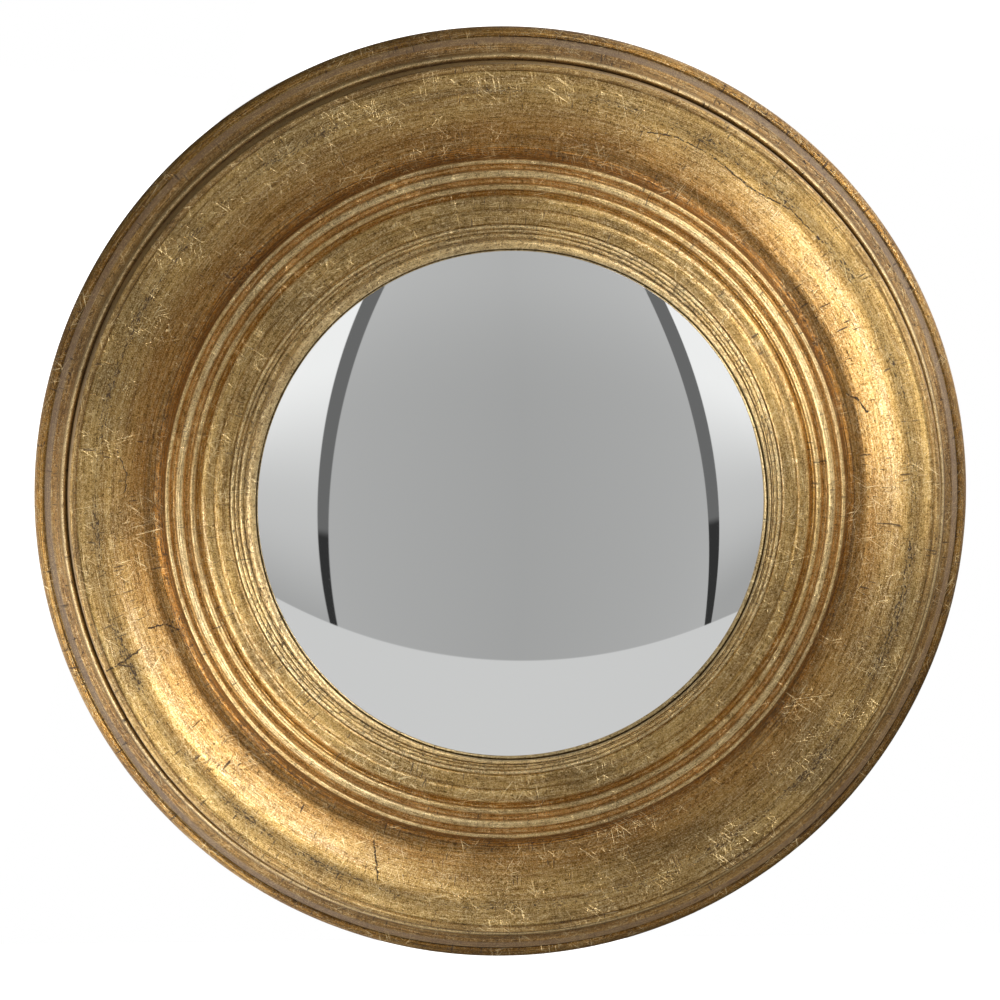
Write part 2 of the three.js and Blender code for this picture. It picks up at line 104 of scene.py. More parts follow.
class Nodes:
    """Short names for the nodes of one tree."""

    def __init__(self, owner):
        owner.use_nodes = True
        self.tree = owner.node_tree
        self.tree.nodes.clear()

    def add(self, kind, **settings):
        node = self.tree.nodes.new(kind)
        for key, value in settings.items():
            setattr(node, key, value)
        return node

    def put(self, socket, value):
        if isinstance(value, bpy.types.NodeSocket):
            self.tree.links.new(value, socket)
        elif isinstance(value, tuple) and len(value) == 3 and socket.type == "RGBA":
            socket.default_value = (*value, 1)
        else:
            socket.default_value = value

    def math(self, operation, a, b=0.0, clamp=False):
        node = self.add("ShaderNodeMath", operation=operation, use_clamp=clamp)
        for socket, value in zip(node.inputs, (a, b)):
            self.put(socket, value)
        return node.outputs[0]

    def minus(self, a, b, clamp=False):
        return self.math("SUBTRACT", a, b, clamp=clamp)

    def most(self, first, *others):
        for other in others:
            first = self.math("MAXIMUM", first, other)
        return first

    def clip(self, value, low, high):
        return self.math("MINIMUM", self.most(value, low), high)

    def length(self, a, b):
        return self.math("SQRT", self.sum(self.times(a, a), self.times(b, b)))

    def sum(self, *terms):
        total = terms[0]
        for term in terms[1:]:
            total = self.math("ADD", total, term)
        return total

    def times(self, a, b, clamp=False):
        return self.math("MULTIPLY", a, b, clamp=clamp)

    def smooth(self, value, low, high, to_low=0.0, to_high=1.0):
        """A soft step from to_low at low to to_high at high."""
        node = self.add("ShaderNodeMapRange", interpolation_type="SMOOTHSTEP")
        for socket, number in zip(node.inputs, (value, low, high, to_low, to_high)):
            self.put(socket, number)
        return node.outputs[0]

    def band(self, value, low, high, soft):
        """1 between low and high, 0 outside, with soft edges."""
        rise = self.smooth(value, low - soft, low + soft)
        fall = self.smooth(value, high - soft, high + soft, 1.0, 0.0)
        return self.times(rise, fall)

    def vector(self, x, y, z):
        node = self.add("ShaderNodeCombineXYZ")
        for socket, value in zip(node.inputs, (x, y, z)):
            self.put(socket, value)
        return node.outputs[0]

    def split(self, vector):
        node = self.add("ShaderNodeSeparateXYZ")
        self.put(node.inputs[0], vector)
        return node.outputs

    def noise(self, vector, scale=1.0, detail=2.0, roughness=0.5, distortion=0.0):
        node = self.add("ShaderNodeTexNoise")
        self.put(node.inputs["Vector"], vector)
        node.inputs["Scale"].default_value = scale
        node.inputs["Detail"].default_value = detail
        node.inputs["Roughness"].default_value = roughness
        node.inputs["Distortion"].default_value = distortion
        return node.outputs["Fac"]

    def attribute(self, name):
        return self.add("ShaderNodeAttribute", attribute_name=name).outputs["Fac"]

    def mix(self, factor, a, b, blend="MIX"):
        node = self.add("ShaderNodeMix", data_type="RGBA", blend_type=blend)
        self.put(node.inputs["Factor"], factor)
        self.put(node.inputs["A"], a)
        self.put(node.inputs["B"], b)
        return node.outputs["Result"]

    def bump(self, height, distance):
        node = self.add("ShaderNodeBump")
        self.put(node.inputs["Height"], height)
        node.inputs["Distance"].default_value = distance
        node.inputs["Strength"].default_value = 1.0
        return node.outputs["Normal"]

    def place(self):
        """The point on the object in millimetres from the mirror's axis and flat back."""
        node = self.add("ShaderNodeVectorMath", operation="MULTIPLY_ADD")
        self.put(node.inputs[0], self.add("ShaderNodeTexCoord").outputs["Object"])
        node.inputs[1].default_value = (1000, 1000, 1000)
        node.inputs[2].default_value = (0, -BACK_Y * 1000, -AXIS_Z * 1000)
        return node.outputs[0]

    def surface(self, **sockets):
        """The principled surface, with sockets named in lower case."""
        shader = self.add("ShaderNodeBsdfPrincipled")
        for key, value in sockets.items():
            self.put(shader.inputs[key.replace("_", " ").title().replace("Ior", "IOR")], value)
        self.finish(shader, "ShaderNodeOutputMaterial")

    def finish(self, shader, kind):
        self.put(self.add(kind).inputs["Surface"], shader.outputs[0])


def material(name):
    made = bpy.data.materials.new(name)
    return made, Nodes(made)


# ---- Materials ----

# The leaf where it is plain, rubbed and deep, the dark toning over it, the bole under it, and the
# putty-coloured paint on the rim. The toning also paints shade in the cove's bed and shadow at the sight
# edge, and the bole's colour paints orange bounce light in the bed.
GOLD = (0.56, 0.335, 0.085)
PALE_GOLD = (0.99, 0.79, 0.43)
DEEP_GOLD = (0.32, 0.162, 0.028)
OLIVE = (0.055, 0.028, 0.006)
UMBER = (0.032, 0.014, 0.005)
BOLE_AND_BOUNCE_LIGHT = (0.58, 0.23, 0.028)
PUTTY = (0.145, 0.088, 0.052)

# Cracks and scratches that stand out, as chains of (x, z) in millimetres from the axis
CRACKS = (
    ((-164.5, -68.5), (-157.5, -65.0), (-150.5, -60.0)),
    ((-160.0, -66.5), (-156.5, -66.8), (-153.0, -67.8)),
    ((-147.5, -52.0), (-141.0, -51.0), (-135.0, -53.5)),
    ((-55.0, -141.5), (-54.3, -149.0), (-53.5, -157.0)),
    ((55.0, 152.0), (70.0, 149.5), (84.0, 142.0), (101.0, 128.0), (117.0, 119.5), (130.0, 106.0)),
    ((150.0, 36.0), (146.0, 41.0), (142.0, 43.0)),
    ((-160.0, 22.0), (-156.0, 12.0), (-157.0, 4.0)),
)


def brushing(n, x, y, z, flat):
    """Wire-brush hatching in four directions, and longer scratches where patches of it are strong."""
    hatch, scratches = 0.0, 0.0
    here = n.smooth(n.noise(flat, 0.06, 2), 0.42, 0.6)
    for i, degrees in enumerate((12, 55, 101, 146)):
        angle = math.radians(degrees)
        along = n.sum(n.times(x, math.cos(angle)), n.times(z, math.sin(angle)))
        across = n.sum(n.times(x, -math.sin(angle)), n.times(z, math.cos(angle)))
        layer = n.sum(n.times(y, 1.5), 5.3 * i)
        strokes = n.noise(n.vector(n.times(along, 0.4), n.times(across, 2.8), layer), 1, 2, 0.6)
        hatch = n.sum(strokes, hatch)
        layer = n.sum(n.times(y, 0.1), 13.7 * i)
        lines = n.noise(n.vector(n.times(along, 0.085), n.times(across, 2.2), layer), 1, 2, 0.6)
        scratches = n.most(n.times(n.smooth(lines, 0.635, 0.72), here), scratches)
    return hatch, scratches


def crack_marks(n, x, z, flat):
    """1 along the chains of CRACKS, broken here and there and bent a little on the way."""
    most_bend, width, edge = 2.0, 0.12, 0.42
    marks = 0.0
    bend_x = n.times(n.minus(n.noise(flat, 0.45, 3), 0.5), most_bend)
    bend_z = n.times(n.minus(n.noise(n.vector(z, x, 7.0), 0.45, 3), 0.5), most_bend)
    bent_x, bent_z = n.sum(x, bend_x), n.sum(z, bend_z)
    for chain in CRACKS:
        for (x0, z0), (x1, z1) in zip(chain, chain[1:]):
            dx, dz = x1 - x0, z1 - z0
            length2 = dx * dx + dz * dz
            from_x, from_z = n.minus(bent_x, x0), n.minus(bent_z, z0)
            share = n.sum(n.times(from_x, dx / length2), n.times(from_z, dz / length2))
            share = n.clip(share, 0.0, 1.0)
            off_x = n.minus(from_x, n.times(share, dx))
            off_z = n.minus(from_z, n.times(share, dz))
            marks = n.most(n.smooth(n.length(off_x, off_z), width, edge, 1.0, 0.0), marks)
    return n.times(marks, n.smooth(n.noise(flat, 0.8, 2), 0.36, 0.5))


def gilt_material():
    """Leaf over bole, brushed, glazed and lacquered. The frame's mesh carries how much of each there is,
    the nominal radius, and travel, the way along the section in millimetres. The glaze and bole it carries
    also paint shade and orange bounce light in the cove's bed, and the glaze paints shadow at the sight
    edge."""
    made, n = material("antique_gilt")
    x, y, z = n.split(n.place())
    flat = n.vector(x, z, y)
    radius = n.length(x, z)
    ux, uz = n.math("DIVIDE", x, radius), n.math("DIVIDE", z, radius)
    glaze_and_shade, wear, bole_and_bounce_light, putty, nominal, travel = (
        n.attribute(name) for name in ("glaze_and_shade", "wear", "bole_and_bounce_light", "putty", "nominal", "travel")
    )

    def round_noise(per_mm, per_radian, detail, roughness=0.5):
        """Noise with its own scales along the section and round the frame."""
        stretched = n.vector(n.times(travel, per_mm), n.times(ux, per_radian), n.times(uz, per_radian))
        return n.noise(stretched, 1, detail, roughness)

    # Brush lines that run round the frame, patches, and the grain of the leaf
    round_fine = round_noise(2.6, 16, 3, 0.6)
    round_wide = round_noise(0.4, 3, 3, 0.6)
    round_long = round_noise(1.6, 2.2, 2)
    patch = n.noise(flat, 0.028, 4, 0.6)
    mottle = n.noise(flat, 0.35, 5, 0.7)
    grain = n.noise(flat, 2.2, 3, 0.75)
    hatch, scratches = brushing(n, x, y, z, flat)
    tone = n.sum(
        n.times(hatch, 0.7), grain, n.times(round_fine, 0.9), n.times(mottle, 0.2), -2.45
    )

    # Dark specks, thickest along one ring of the cove and in the creases, and pits
    speck_ring = n.times(n.band(nominal, 167.0, 171.0, 1.2), 0.11)
    in_ring = n.times(speck_ring, n.smooth(patch, 0.35, 0.6, 0.3, 1.0))
    in_glaze = n.times(n.times(glaze_and_shade, 0.13), n.smooth(patch, 0.3, 0.7))
    specks = n.smooth(n.sum(round_noise(1.5, 95, 3, 0.7), in_ring, in_glaze), 0.655, 0.7)
    pits = n.smooth(n.noise(flat, 2.3, 3, 0.75), 0.65, 0.7)

    # Short hairline cracks across the moulding, in patches, the larger cracks, and crumbs on the reeds
    hair_here = n.smooth(n.noise(flat, 0.11, 3, 0.7), 0.47, 0.58)
    hair = n.times(n.smooth(round_noise(0.15, 190, 0), 0.70, 0.77), hair_here)
    cracks = crack_marks(n, x, z, flat)
    reed_marks = n.smooth(round_noise(0.9, 75, 4, 0.75), 0.54, 0.64)
    reed_marks = n.times(reed_marks, n.band(nominal, 107.6, 113.9, 0.8))

    # Colour, from the leaf down to the glaze, then rubbed gold and scratches, and dark marks on top
    leaf = n.mix(n.smooth(round_wide, 0.35, 0.7), GOLD, DEEP_GOLD)
    leaf = n.mix(n.times(n.smooth(patch, 0.42, 0.68), 0.4), leaf, OLIVE)
    # In the cove's bed this orange is also painted bounce light.
    leaf = n.mix(n.times(bole_and_bounce_light, n.smooth(mottle, 0.75, 0.3, 0.55, 1.0)), leaf, BOLE_AND_BOUNCE_LIGHT)
    leaf = n.mix(n.times(n.smooth(tone, 0.02, -0.34), 0.85), leaf, OLIVE)
    leaf = n.mix(n.times(n.smooth(tone, 0.04, 0.4), 0.7), leaf, PALE_GOLD)
    leaf = n.mix(n.times(putty, n.smooth(tone, -0.3, 0.3, 1.0, 0.72)), leaf, PUTTY)
    broken = n.sum(round_long, n.times(mottle, 0.5), n.times(grain, 0.4))
    # This dark toning is also painted shade in the cove's bed and painted shadow at the sight edge.
    glazed_and_shaded = n.times(glaze_and_shade, n.smooth(broken, 0.7, 1.15, 0.1, 1.0), clamp=True)
    leaf = n.mix(glazed_and_shaded, leaf, UMBER)
    rubbed = n.times(n.smooth(tone, -0.25, 0.1, 0.2, 1.0), wear)
    leaf = n.mix(rubbed, leaf, PALE_GOLD)
    brushed = n.times(scratches, n.smooth(putty, 0.0, 0.6, 0.7, 0.15))
    leaf = n.mix(brushed, leaf, PALE_GOLD)
    dark = n.most(
        n.times(specks, 0.9),
        n.times(pits, 0.75),
        n.times(cracks, 0.97),
        n.times(hair, 0.75),
        n.times(reed_marks, 0.8),
    )

    metallic = n.minus(0.97, n.sum(n.times(putty, 0.85), n.times(glazed_and_shaded, 0.35)), clamp=True)
    roughness = n.sum(0.33, n.times(tone, -0.14), n.times(glazed_and_shaded, 0.12), n.times(dark, 0.2))
    height = n.sum(
        n.times(hatch, 0.3),
        n.times(grain, 0.35),
        n.times(round_fine, 0.6),
        n.times(round_wide, 0.3),
        n.times(mottle, 0.28),
        n.times(scratches, -0.28),
        n.times(specks, -0.7),
        n.times(pits, -0.6),
        n.times(cracks, -1.4),
        n.times(hair, -0.5),
        n.times(reed_marks, -1.2),
    )
    covered = n.sum(dark, putty, glazed_and_shaded, bole_and_bounce_light)
    lacquer = n.times(n.smooth(tone, -0.25, 0.15, 0.2, 1.0), n.smooth(covered, 0.0, 0.7, 0.6, 0.03))
    # The sheen of the brushing spreads across the lines that run round the frame.
    tangent = n.add("ShaderNodeTangent", direction_type="RADIAL", axis="Y")
    n.surface(
        base_color=n.mix(dark, leaf, UMBER),
        metallic=n.times(metallic, n.smooth(dark, 0.0, 1.0, 1.0, 0.3)),
        roughness=n.minus(roughness, n.times(brushed, 0.06), clamp=True),
        anisotropic=0.84,
        anisotropic_rotation=0.25,
        tangent=tangent.outputs[0],
        coat_weight=lacquer,
        coat_roughness=0.25,
        coat_ior=1.5,
        normal=n.bump(height, 0.00015),
    )
    return made


def wood_material(name, light, dark):
    made, n = material(name)
    place = n.place()
    x, y, z = n.split(place)
    fibre = n.noise(n.vector(n.times(x, 0.12), n.times(y, 1.2), n.times(z, 1.4)), 1, 5, 0.65)
    dust = n.noise(place, 2.2, 4, 0.7)
    stain = n.noise(place, 0.03, 3)
    colour = n.mix(n.smooth(fibre, 0.32, 0.68), light, dark)
    colour = n.mix(n.times(n.smooth(dust, 0.5, 0.75), 0.4), colour, dark)
    colour = n.mix(n.times(n.smooth(stain, 0.45, 0.65), 0.35), colour, dark)
    height = n.sum(n.times(fibre, 0.6), n.times(dust, 0.5))
    n.surface(
        base_color=colour,
        roughness=n.smooth(dust, 0.2, 0.8, 0.68, 0.86),
        normal=n.bump(height, 0.00018),
    )
    return made


def hardboard_material():
    """The meshed side of hardboard, pressed on a wire screen."""
    made, n = material("hardboard")
    place = n.place()
    x, y, z = n.split(place)
    wires = [n.math("ABSOLUTE", n.math("SINE", n.times(way, 2.3))) for way in (x, z)]
    screen = n.math("MINIMUM", *wires)
    face = n.smooth(y, -0.6, -0.2)
    fibre = n.noise(place, 0.9, 5, 0.7, 0.6)
    stain = n.noise(place, 0.02, 3)
    colour = n.mix(n.smooth(fibre, 0.35, 0.7), (0.27, 0.155, 0.083), (0.165, 0.088, 0.045))
    dents = n.times(n.smooth(screen, 0.35, 0.05), n.times(face, 0.5))
    colour = n.mix(dents, colour, (0.10, 0.055, 0.03))
    colour = n.mix(n.times(n.smooth(stain, 0.4, 0.7), 0.3), colour, (0.33, 0.20, 0.115))
    height = n.sum(n.times(n.smooth(screen, 0.0, 0.5), n.times(face, 0.8)), n.times(fibre, 0.5))
    n.surface(
        base_color=colour,
        roughness=n.smooth(fibre, 0.3, 0.7, 0.6, 0.8),
        normal=n.bump(height, 0.00016),
    )
    return made


def metal_material(name, bright, dull, rough, brush):
    made, n = material(name)
    place = n.place()
    x, y, z = n.split(place)
    lines = n.noise(n.vector(n.times(x, brush), n.times(y, 3.0), n.times(z, 0.5)), 1, 3, 0.6)
    tarnish = n.noise(place, 0.22, 4, 0.65)
    smear = n.noise(place, 0.9, 3)
    colour = n.mix(n.smooth(tarnish, 0.38, 0.7), bright, dull)
    colour = n.mix(n.times(n.smooth(lines, 0.5, 0.7), 0.25), colour, dull)
    roughness = n.sum(rough, n.times(tarnish, 0.16), n.times(smear, 0.08))
    n.surface(
        base_color=colour,
        metallic=1.0,
        roughness=roughness,
        normal=n.bump(n.sum(n.times(lines, 0.5), n.times(smear, 0.5)), 0.00004),
    )
    return made


def rubber_material(name, colour, bump_scale, depth):
    made, n = material(name)
    place = n.place()
    grain = n.noise(place, bump_scale, 4, 0.65)
    bloom = n.noise(place, 0.3, 3)
    shade = tuple(c * 1.7 for c in colour)
    n.surface(
        base_color=n.mix(n.smooth(bloom, 0.4, 0.75), colour, shade),
        roughness=n.smooth(grain, 0.3, 0.7, 0.7, 0.92),
        normal=n.bump(grain, depth),
    )
    return made


def silver_material():
    made, n = material("silvered_glass")
    place = n.place()
    dust = n.smooth(n.noise(place, 1.3, 3, 0.7), 0.735, 0.78)
    haze = n.noise(place, 0.035, 3)
    n.surface(
        base_color=n.mix(n.times(dust, 0.5), (0.875, 0.885, 0.88), (0.55, 0.56, 0.56)),
        metallic=1.0,
        roughness=n.sum(n.times(dust, 0.25), n.smooth(haze, 0.3, 0.7, 0.012, 0.022)),
    )
    return made


def backing_paint_material():
    """Grey paint over the silver, on the hollow side."""
    made, n = material("silver_backing_paint")
    x, y, z = n.split(n.place())
    strokes = n.noise(n.vector(n.times(x, 0.2), 0.0, z), 1.2, 4)
    n.surface(
        base_color=n.mix(n.smooth(strokes, 0.35, 0.65), (0.17, 0.165, 0.16), (0.23, 0.22, 0.21)),
        roughness=n.smooth(strokes, 0.3, 0.7, 0.5, 0.7),
    )
    return made


GILT = gilt_material()
FRAME_BACK = wood_material("stained_wood_back", (0.235, 0.145, 0.075), (0.125, 0.072, 0.036))
BARE_WOOD = wood_material("bare_wood", (0.44, 0.31, 0.19), (0.32, 0.21, 0.12))
HARDBOARD = hardboard_material()
BRASS = metal_material("brassed_steel", (0.83, 0.64, 0.32), (0.55, 0.39, 0.17), 0.2, 0.5)
ZINC = metal_material("zinc_screw", (0.74, 0.74, 0.72), (0.5, 0.49, 0.46), 0.18, 2.0)
RUBBER = rubber_material("bumper_rubber", (0.035, 0.032, 0.03), 1.6, 0.00006)
FOAM = rubber_material("foam_tape", (0.022, 0.022, 0.022), 3.5, 0.0003)
SILVER = silver_material()
BACKING_PAINT = backing_paint_material()


# ---- Sections ----


def arc(centre_r, centre_h, radius_r, radius_h, start, end, steps):
    """Points on an elliptical arc; 0 degrees points outwards and 90 forwards."""
    angles = np.radians(np.linspace(start, end, steps + 1))
    return [(centre_r + radius_r * math.cos(a), centre_h + radius_h * math.sin(a)) for a in angles]


def line(start, end, steps):
    shares = np.linspace(0, 1, steps + 1)
    return [(start[0] + (end[0] - start[0]) * t, start[1] + (end[1] - start[1]) * t) for t in shares]


def cubic(p0, p1, p2, p3, steps):
    points = []
    for t in np.linspace(0, 1, steps + 1):
        a, b, c, d = (1 - t) ** 3, 3 * t * (1 - t) ** 2, 3 * t * t * (1 - t), t ** 3
        points.append(tuple(a * p0[i] + b * p1[i] + c * p2[i] + d * p3[i] for i in (0, 1)))
    return points


def dome_front(radius):
    return DOME_CENTRE + math.sqrt(SPHERE ** 2 - radius ** 2)


def groove(outer, middle, inner, sink, rise=0.0):
    """A shallow groove between beads, sunk in its middle and perhaps higher on its inner side."""
    level = 31.5
    return [(outer, level), (middle, level - sink), (inner, level + rise)]


def members():
    """Each member of the moulding, from the back edge to the sight edge: its name, points, and how it is
    finished: dark glaze, which at the sight edge is painted shadow, rubbed gold, red-orange bole and tan
    putty, each from 0 to 1, and how uneven it is by hand in millimetres."""
    outer_cove = cubic((176.1, 37.2), (173.5, 36.2), (171.0, 35.55), (168.1, 35.35), 10)
    inner_cove = cubic((167.6, 35.3), (160.5, 34.6), (152.5, 24.7), (145.6, 24.7), 26)
    band_outer = cubic((125.7, 32.5), (124.4, 33.6), (122.6, 33.6), (120.95, 33.15), 8)
    band_inner = cubic((119.85, 33.15), (118.2, 33.65), (116.4, 33.7), (114.4, 33.35), 8)
    return [
        ("back_edge", arc(189, 6, 6, 6, -90, -8, 6), 0.25, 0.1, 0.0, 0.1, 0.02),
        ("torus", arc(191, 6, 4, 5.3, 0, 88, 10), 0.7, 0.03, 0.35, 0.0, 0.05),
        ("quirk", [(190.85, 11.0), (190.6, 11.15)], 1.0, 0.0, 0.0, 0.0, 0.03),
        ("splay", line((190.35, 11.65), (188.15, 14.1), 3), 0.08, 0.05, 0.0, 0.95, 0.03),
        ("cavetto", arc(187.7, 18.5, 3.9, 3.9, 268, 196, 8), 0.6, 0.05, 0.25, 0.3, 0.04),
        ("rim_bead", arc(182.5, 18.7, 1.25, 3.1, 24, 150, 8), 0.05, 0.55, 0.1, 0.3, 0.05),
        ("crease", [(181.25, 18.9), (181.0, 18.9), (180.85, 19.4)], 0.05, 0.0, 0.0, 0.75, 0.02),
        ("riser", line((180.8, 20.2), (179.6, 36.0), 6), 0.28, 0.12, 0.0, 0.35, 0.03),
        ("crest", arc(178.1, 37.1, 1.4, 1.4, -8, 150, 10), 0.32, 0.1, 0.08, 0.2, 0.05),
        ("crest_quirk", [(176.75, 37.35), (176.45, 37.1)], 0.6, 0.0, 0.0, 0.0, 0.03),
        ("cove", outer_cove, 0.02, 0.34, 0.0, 0.0, 0.06),
        ("cove", inner_cove, 0.04, 0.2, 0.05, 0.0, 0.06),
        ("cove_return", arc(145.6, 32.3, 5, 7.6, 268, 182, 13), 0.26, 0.05, 0.36, 0.0, 0.05),
        ("fillet", arc(139.65, 32.6, 0.95, 0.95, 30, 180, 7), 0.15, 0.42, 0.15, 0.05, 0.05),
        ("groove_1", groove(138.55, 137.6, 136.55, 0.12), 0.0, 0.45, 0.7, 0.0, 0.03),
        ("large_bead", large_bead(), 0.0, 0.72, 0.05, 0.05, 0.07),
        ("groove_2", groove(132.8, 131.8, 130.8, 0.1), 0.0, 0.45, 0.7, 0.0, 0.03),
        ("small_bead", arc(129.3, 32.4, 1.35, 1.4, 2, 178, 9), 0.05, 0.4, 0.12, 0.0, 0.07),
        ("groove_3", groove(127.8, 126.9, 126.0, 0.25, 0.4), 0.25, 0.0, 0.5, 0.0, 0.03),
        ("band_outer", band_outer, 0.08, 0.25, 0.0, 0.0, 0.06),
        ("incised_line", [(120.7, 32.85), (120.4, 32.7), (120.1, 32.85)], 0.1, 0.0, 0.0, 0.0, 0.05),
        ("band_inner", band_inner, 0.08, 0.25, 0.0, 0.0, 0.06),
        ("step", [(114.2, 33.0), (113.95, 32.8)], 0.15, 0.0, 0.0, 0.0, 0.05),
        ("reed_bead", arc(112.9, 33.1, 0.85, 0.85, 12, 168, 7), 0.03, 0.75, 0.0, 0.0, 0.1),
        ("reeds", reeds(), 0.1, 0.45, 0.0, 0.0, 0.16),
        ("lip", arc(107.2, 33.95, 1.35, 1.05, 0, 180, 11), 0.0, 0.6, 0.05, 0.15, 0.04),
        # The sight edge's dark glaze is painted shadow: the dark gap where the lip meets the glass.
        ("sight_edge", [(SIGHT_RADIUS + 0.02, 33.72)], 0.9, 0.0, 0.0, 0.0, 0.0),
    ]


def large_bead():
    """A bead with a fine split line along its crown."""
    split_at, split_half, split_depth = 135.05, 0.2, 0.32
    points = arc(134.65, 32.5, 1.75, 1.75, 2, 178, 15)
    return [(r, h - (split_depth if abs(r - split_at) < split_half else 0.0)) for r, h in points]


def reeds():
    """The two fine reeds beside the sight edge."""
    return [point for centre in (111.25, 109.65) for point in arc(centre, 33.15, 0.8, 0.85, 10, 170, 6)]


def travel_along(section):
    """The way along a section to each of its points, in millimetres."""
    return np.r_[0, np.cumsum(np.hypot(*np.diff(section, axis=0).T))]


def cavity_of(points, reach=1.4):
    """How far each point of a section lies under its surroundings: below 0 on a ridge."""
    spacing = 0.1
    p = np.array(points)
    travel = travel_along(p)
    even = np.arange(0, travel[-1], spacing)
    path = np.c_[np.interp(even, travel, p[:, 0]), np.interp(even, travel, p[:, 1])]
    span = int(reach / spacing)
    kernel = np.ones(2 * span + 1) / (2 * span + 1)
    padded = np.pad(path, ((span, span), (0, 0)), mode="edge")
    smooth = np.stack([np.convolve(column, kernel, "valid") for column in padded.T], -1)
    tangent = np.gradient(smooth, axis=0)
    tangent /= np.linalg.norm(tangent, axis=1)[:, None] + 1e-9
    normal = np.c_[tangent[:, 1], -tangent[:, 0]]
    depth = ((smooth - path) * normal).sum(1)
    return np.interp(travel, even, depth)


# ---- Meshes ----


def new_mesh(name, vertices, faces, smooth=True):
    mesh = bpy.data.meshes.new(name)
    mesh.from_pydata([tuple(v) for v in vertices], [], [tuple(f) for f in faces])
    mesh.validate()
    mesh.update()
    if smooth:
        mesh.shade_smooth()
    return link(bpy.data.objects.new(name, mesh))


def ring_faces(rows, columns, closed_section):
    """Quads of a grid of rows (section points) by columns (round the axis)."""
    row, column = np.meshgrid(
        np.arange(rows if closed_section else rows - 1), np.arange(columns), indexing="ij"
    )
    here, there = row * columns, (row + 1) % rows * columns
    beside = (column + 1) % columns
    return np.stack([here + column, there + column, there + beside, here + beside], -1).reshape(-1, 4)


def round_angles(steps):
    return np.arange(steps) * 2 * math.pi / steps


def to_frame(vertices):
    return vertices * MM + np.array([0, BACK_Y, AXIS_Z])


def unevenness(rows, steps, amounts, generator):
    """Gentle hand-made waviness, made of whole waves round the ring so that it closes."""
    angle = round_angles(steps)
    nearly_a_turn = 6.28
    slow = np.zeros(steps)
    for wave in (3, 5, 8, 13, 21):
        size = generator.normal()
        phase = generator.uniform(0, nearly_a_turn)
        slow += size * np.cos(wave * angle + phase) / math.sqrt(wave)
    slow /= np.abs(slow).max()
    fast = np.zeros((rows, steps))
    for wave in (34, 55, 89, 130, 170):
        phase = np.cumsum(generator.normal(0, 0.5, rows))
        size = generator.normal(0, 1, rows)
        fast += size[:, None] * np.cos(wave * angle + phase[:, None])
    fast /= np.abs(fast).max()
    return np.array(amounts)[:, None] * (0.55 * slow + 0.75 * fast)


REBATE = (
    (106.5, 33.32),
    (113.1, 29.18),
    (113.1, 5.3),
    (119.1, 5.3),
    (119.1, 0.25),
    (119.35, 0.0),
    (135.0, 0.0),
    (160.0, 0.0),
    (184.0, 0.0),
)


def uneven_ring(section, amounts):
    """The frame's vertices as rows of columns: the section turned about the axis, pushed in and out
    square to itself by hand, with its sight edge shifted along the dome's slope."""
    along = np.roll(section, -1, axis=0) - np.roll(section, 1, axis=0)
    along /= np.linalg.norm(along, axis=1)[:, None]
    out_r, out_h = along[:, 1], -along[:, 0]
    generator = np.random.default_rng(WAVINESS_SEED)
    wave = unevenness(len(section), RING_STEPS, amounts, generator)
    angle = round_angles(RING_STEPS)
    radius = np.minimum(section[:, 0, None] + out_r[:, None] * wave, OUTER)
    height = section[:, 1, None] + out_h[:, None] * wave
    share = np.clip((SHIFT_FROM - section[:, 0]) / (SHIFT_FROM - SIGHT_RADIUS), 0, 1)[:, None]
    x = radius * np.cos(angle) + SHIFT_X * share
    z = radius * np.sin(angle) + SHIFT_Z * share
    rise = np.sqrt(SPHERE ** 2 - np.hypot(x, z) ** 2) - np.sqrt(SPHERE ** 2 - radius ** 2)
    height = height + np.where(share > 0, rise, 0)
    return np.stack([x, -height, z], -1)


def gilding_of(section, values, names):
    """What the gilding's material reads on each row of the frame."""
    crease_depth, ridge_height = 0.45, 0.4
    glaze_and_shade, wear, bole_and_bounce_light, putty = (values[:, i].copy() for i in range(4))
    cavity = cavity_of(section)
    crease = np.clip(cavity / crease_depth, 0, 1)
    ridge = np.clip(-cavity / ridge_height, 0, 1)
    glaze_and_shade = np.clip(glaze_and_shade + 0.3 * crease * (bole_and_bounce_light < 0.25), 0, 1)
    wear = np.clip(wear * (0.35 + 0.65 * ridge), 0, 1)
    # Glaze and bole gather in the bed of the cove and its return, and glaze in one streak near the cove's
    # outer edge.
    # The bed's extra glaze and bole are also painted shade and painted orange bounce light, with more of
    # both inwards from 160 mm.
    is_cove = np.array([name.startswith("cove") for name in names])
    bed_shade_and_bole = is_cove * np.clip((160.0 - section[:, 0]) / 13.0, 0, 1)
    streak = is_cove * np.exp(-(((section[:, 0] - 168.5) / 1.8) ** 2))
    return {
        "glaze_and_shade": glaze_and_shade + 0.35 * streak + 0.55 * bed_shade_and_bole,
        "wear": wear,
        "bole_and_bounce_light": bole_and_bounce_light + 0.5 * bed_shade_and_bole,
        "putty": putty,
        "nominal": section[:, 0],
        "travel": travel_along(section),
    }


